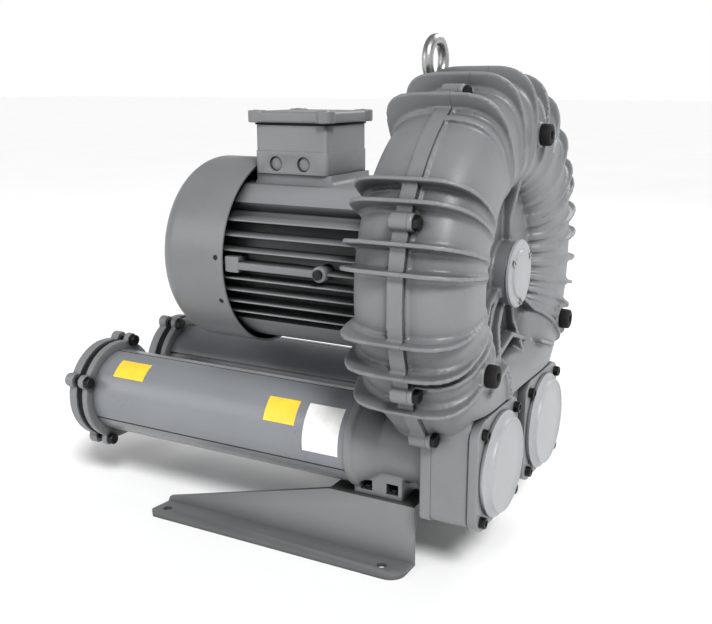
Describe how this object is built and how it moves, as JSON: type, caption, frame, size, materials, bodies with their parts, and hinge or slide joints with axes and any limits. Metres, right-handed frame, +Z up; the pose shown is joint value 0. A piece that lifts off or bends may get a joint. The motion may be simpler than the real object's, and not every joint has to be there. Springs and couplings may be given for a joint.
{
  "type": "side-channel blower",
  "caption": "Electric side-channel blower and vacuum pump: finned motor, ring housing with meridional fins, twin silencer tubes, folded steel brackets and a lifting eye.",
  "frame": {"origin": "on the floor under the middle of the machine's length and width", "axes": "+X along the motor axis from the fan end to the front cover, +Z up, +Y to the outlet silencer's side"},
  "size_m": [0.562, 0.4138, 0.552],
  "materials": {
    "blower_casting": "satin grey paint over cast aluminium",
    "motor_paint": "satin grey paint over cast aluminium",
    "cowl_paint": "satin grey paint over pressed steel",
    "cover_paint": "light grey satin paint",
    "silencer_paint": "satin blue-grey paint over extruded aluminium",
    "bracket_paint": "matt grey paint over folded steel",
    "black_rubber": "matt black",
    "black_plastic": "matt black",
    "fastener_steel": "zinc plated",
    "bearing_steel": "ground",
    "shaft_steel": "turned",
    "impeller_aluminium": "as cast and machined",
    "lamination_steel": "stacked laminations",
    "winding_copper": "varnished enamelled copper wire",
    "absorber_foam": "open porous sound absorber"
  },
  "bodies": {
    "housing": {"stator_frame": "motor_paint", "fan_cowl": "cowl_paint", "rear_end_shield": "motor_paint", "front_end_shield": "motor_paint", "stator_core": "lamination_steel", "winding_rear": "winding_copper", "winding_front": "winding_copper", "earth_screw": "fastener_steel", "terminal_box": "motor_paint", "terminal_box_gasket": "black_rubber", "terminal_box_lid": "cover_paint", "terminal_board": "black_plastic", "cable_entry_plug_1": "black_plastic", "cable_entry_plug_2": "black_plastic", "rear_bearing_outer_ring": "bearing_steel", "front_bearing_outer_ring": "bearing_steel", "blower_front_cover": "blower_casting", "blower_rear_housing": "blower_casting", "shaft_seal": "black_rubber", "hub_cover": "cover_paint", "joint_bolt_1": "fastener_steel", "joint_bolt_2": "fastener_steel", "joint_bolt_3": "fastener_steel", "joint_bolt_4": "fastener_steel", "joint_bolt_5": "fastener_steel", "joint_bolt_6": "fastener_steel", "joint_bolt_7": "fastener_steel", "joint_bolt_8": "fastener_steel", "rubber_foot_1": "black_rubber", "rubber_foot_2": "black_rubber", "rubber_foot_3": "black_rubber", "lifting_eye": "fastener_steel", "inlet_silencer_tube": "silencer_paint", "inlet_silencer_liner": "absorber_foam", "inlet_tube_flange": "blower_casting", "inlet_end_gasket": "black_rubber", "inlet_end_flange": "blower_casting", "inlet_port_cover": "cover_paint", "outlet_silencer_tube": "silencer_paint", "outlet_silencer_liner": "absorber_foam", "outlet_tube_flange": "blower_casting", "outlet_end_gasket": "black_rubber", "outlet_end_flange": "blower_casting", "outlet_port_cover": "cover_paint", "near_bracket": "bracket_paint", "far_bracket": "bracket_paint", "near_bracket_bolt_1": "fastener_steel", "near_bracket_bolt_2": "fastener_steel", "far_bracket_bolt_1": "fastener_steel", "far_bracket_bolt_2": "fastener_steel"},
    "rotor": {"motor_shaft": "shaft_steel", "rotor_core": "lamination_steel", "cooling_fan": "black_plastic", "impeller": "impeller_aluminium", "impeller_bolt": "fastener_steel", "rear_bearing_inner_ring": "bearing_steel", "front_bearing_inner_ring": "bearing_steel"},
    "rear_cage": {"rear_bearing_balls": "bearing_steel"},
    "front_cage": {"front_bearing_balls": "bearing_steel"}
  },
  "joints": [
    {"name": "rotor_spin", "type": "hinge", "parent": "housing", "child": "rotor", "pos_m": [0, 0, 0.307], "axis": [1, 0, 0], "continuous": true},
    {"name": "rear_cage_spin", "type": "hinge", "parent": "housing", "child": "rear_cage", "pos_m": [-0.084, 0, 0.307], "axis": [1, 0, 0], "continuous": true},
    {"name": "front_cage_spin", "type": "hinge", "parent": "housing", "child": "front_cage", "pos_m": [0.133, 0, 0.307], "axis": [1, 0, 0], "continuous": true}
  ],
  "couplings": [
    {"joint": "rear_cage_spin", "follows": "rotor_spin", "ratio": 0.4348},
    {"joint": "front_cage_spin", "follows": "rotor_spin", "ratio": 0.4348}
  ]
}
